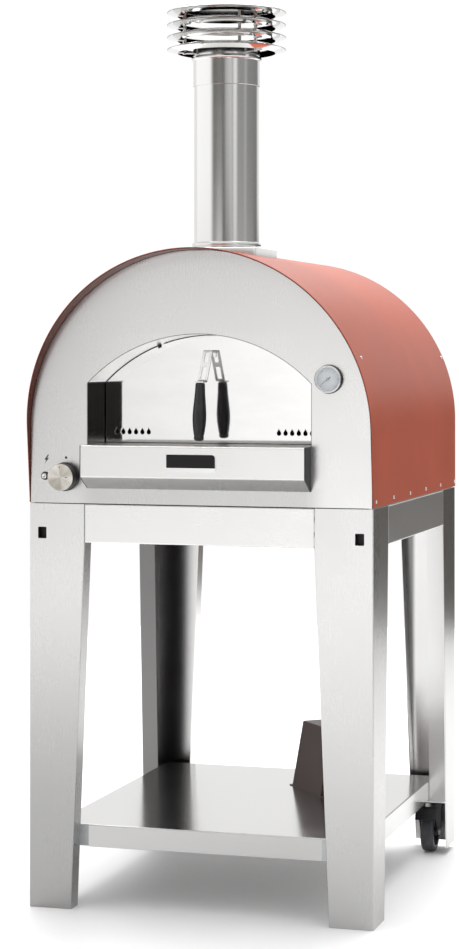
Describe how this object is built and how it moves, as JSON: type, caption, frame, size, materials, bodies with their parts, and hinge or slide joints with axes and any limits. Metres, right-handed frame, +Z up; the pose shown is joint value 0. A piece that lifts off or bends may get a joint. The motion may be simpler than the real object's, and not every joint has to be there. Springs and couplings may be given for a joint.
{
  "type": "pizza oven",
  "caption": "Outdoor pizza oven with an arched painted roof, steel front and chimney, on a legged stand with a shelf and rear castors.",
  "frame": {"origin": "on the floor under the middle of the oven's overall width and depth", "axes": "+Z up, +X to the right of a person facing the mouth, +Y from the mouth to the back"},
  "size_m": [0.804, 0.978, 2.0507],
  "materials": {
    "brushed_steel": "satin, fine vertical brushing",
    "polished_steel": "mirror polish",
    "galvanised_sheet": "dull zinc coated sheet",
    "terracotta_paint": "semi-matt powder coat, slight texture",
    "brown_paint": "semi-matt powder coat",
    "black_paint": "semi-matt powder coat",
    "zinc_fasteners": "plain zinc plated",
    "black_plastic": "satin black",
    "grey_rubber": "dark grey rubber",
    "knob_metal": "turned face, dark grooved side",
    "brass": "plain cast brass",
    "copper_pipe": "drawn copper",
    "dial_face": "pale blue-grey printed dial",
    "clear_glass": "clear",
    "plate_black": "dark plate with a bright border, blank",
    "fireclay": "dry fireclay, slightly sooted",
    "ceramic_fibre": "white ceramic wool and board"
  },
  "bodies": {
    "oven": {"apron_front": "brushed_steel", "apron_left": "brushed_steel", "apron_rear": "brushed_steel", "apron_right": "brushed_steel", "base_tray": "galvanised_sheet", "bottle_stop": "brown_paint", "burner": "polished_steel", "burner_pipe": "copper_pipe", "cap_lid": "polished_steel", "cap_rings": "polished_steel", "cap_rods": "polished_steel", "castor_axles": "zinc_fasteners", "castor_fork_left": "galvanised_sheet", "castor_fork_right": "galvanised_sheet", "chamber_floor": "brushed_steel", "chamber_rear_wall": "brushed_steel", "chamber_vault": "brushed_steel", "flue_box": "brushed_steel", "flue_collar": "brushed_steel", "flue_pipe": "brushed_steel", "front_panel": "brushed_steel", "gas_supply_pipe": "copper_pipe", "gas_valve": "brass", "hearth_board": "ceramic_fibre", "hearth_tiles": "fireclay", "igniter_body": "black_plastic", "insulation_blanket": "ceramic_fibre", "ledge": "brushed_steel", "ledge_ends": "black_paint", "leg_front_left": "brushed_steel", "leg_front_right": "brushed_steel", "leg_rear_left": "brushed_steel", "leg_rear_right": "brushed_steel", "mouth_liner": "brushed_steel", "nameplate": "plate_black", "rear_panel": "galvanised_sheet", "roof_shell": "terracotta_paint", "shelf": "brushed_steel", "shelf_brackets": "brushed_steel", "shell_screws": "zinc_fasteners", "stand_bolts": "zinc_fasteners", "thermometer_case": "polished_steel", "thermometer_dial": "dial_face", "thermometer_glass": "clear_glass", "throat_plate": "brushed_steel"},
    "door": {"door_panel": "polished_steel", "door_back": "galvanised_sheet", "door_bracket": "polished_steel", "door_grip": "black_plastic", "grip_screw": "polished_steel"},
    "valve_spindle": {"valve_spindle": "zinc_fasteners"},
    "control_knob": {"control_knob": "knob_metal"},
    "igniter_button": {"igniter_button": "black_plastic"},
    "thermometer_pointer": {"thermometer_pointer": "polished_steel"},
    "wheel_left": {"wheel_left": "black_plastic", "tyre_left": "grey_rubber"},
    "wheel_right": {"wheel_right": "black_plastic", "tyre_right": "grey_rubber"},
    "brake_pedal_left": {"brake_pedal_left": "black_paint"},
    "brake_pedal_right": {"brake_pedal_right": "black_paint"}
  },
  "joints": [
    {"name": "door_pull_off", "type": "slide", "parent": "oven", "child": "door", "axis": [0, -1, 0], "range_m": [0, 0.25]},
    {"name": "spindle_push", "type": "slide", "parent": "oven", "child": "valve_spindle", "axis": [0, 1, 0], "range_m": [0, 0.003], "stiffness_N_per_m": 1500},
    {"name": "knob_turn", "type": "hinge", "parent": "valve_spindle", "child": "control_knob", "pos_m": [-0.3125, -0.433, 0.9764], "axis": [0, -1, 0], "range_deg": [0, 210]},
    {"name": "igniter_push", "type": "slide", "parent": "oven", "child": "igniter_button", "axis": [0, 1, 0], "range_m": [0, 0.006], "stiffness_N_per_m": 700},
    {"name": "pointer_turn", "type": "hinge", "parent": "oven", "child": "thermometer_pointer", "pos_m": [0.3005, -0.4412, 1.198], "axis": [0, 1, 0], "range_deg": [0, 256], "stiffness_Nm_per_rad": 0.0006},
    {"name": "wheel_left_spin", "type": "hinge", "parent": "oven", "child": "wheel_left", "pos_m": [-0.35, 0.416, 0.05], "axis": [1, 0, 0], "continuous": true},
    {"name": "wheel_right_spin", "type": "hinge", "parent": "oven", "child": "wheel_right", "pos_m": [0.35, 0.416, 0.05], "axis": [1, 0, 0], "continuous": true},
    {"name": "brake_left_press", "type": "hinge", "parent": "oven", "child": "brake_pedal_left", "pos_m": [-0.35, 0.382, 0.114], "axis": [1, 0, 0], "range_deg": [0, 20]},
    {"name": "brake_right_press", "type": "hinge", "parent": "oven", "child": "brake_pedal_right", "pos_m": [0.35, 0.382, 0.114], "axis": [1, 0, 0], "range_deg": [0, 20]}
  ]
}
